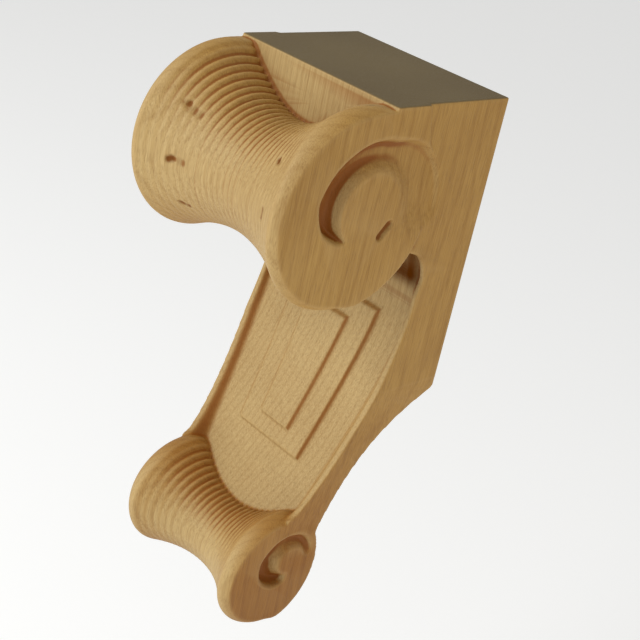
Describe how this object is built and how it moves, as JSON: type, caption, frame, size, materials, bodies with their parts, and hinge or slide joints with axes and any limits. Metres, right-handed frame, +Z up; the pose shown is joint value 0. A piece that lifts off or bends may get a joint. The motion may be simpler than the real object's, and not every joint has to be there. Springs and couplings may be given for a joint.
{
  "type": "corbel bracket",
  "caption": "Carved oak corbel: square block, reeded scroll rolls at top and foot, panelled shaft sweeping forward; fixed to a wall to carry a shelf or mantel",
  "frame": {"origin": "centre of the flat back face that is fixed to the wall", "axes": "+X across the corbel, +Y into the wall, -Y to the front, +Z up"},
  "size_m": [0.0926, 0.1169, 0.2474],
  "materials": {
    "oak": "pale oak, sanded and thinly oiled, matt"
  },
  "bodies": {
    "root": {"corbel": "oak"}
  },
  "joints": []
}
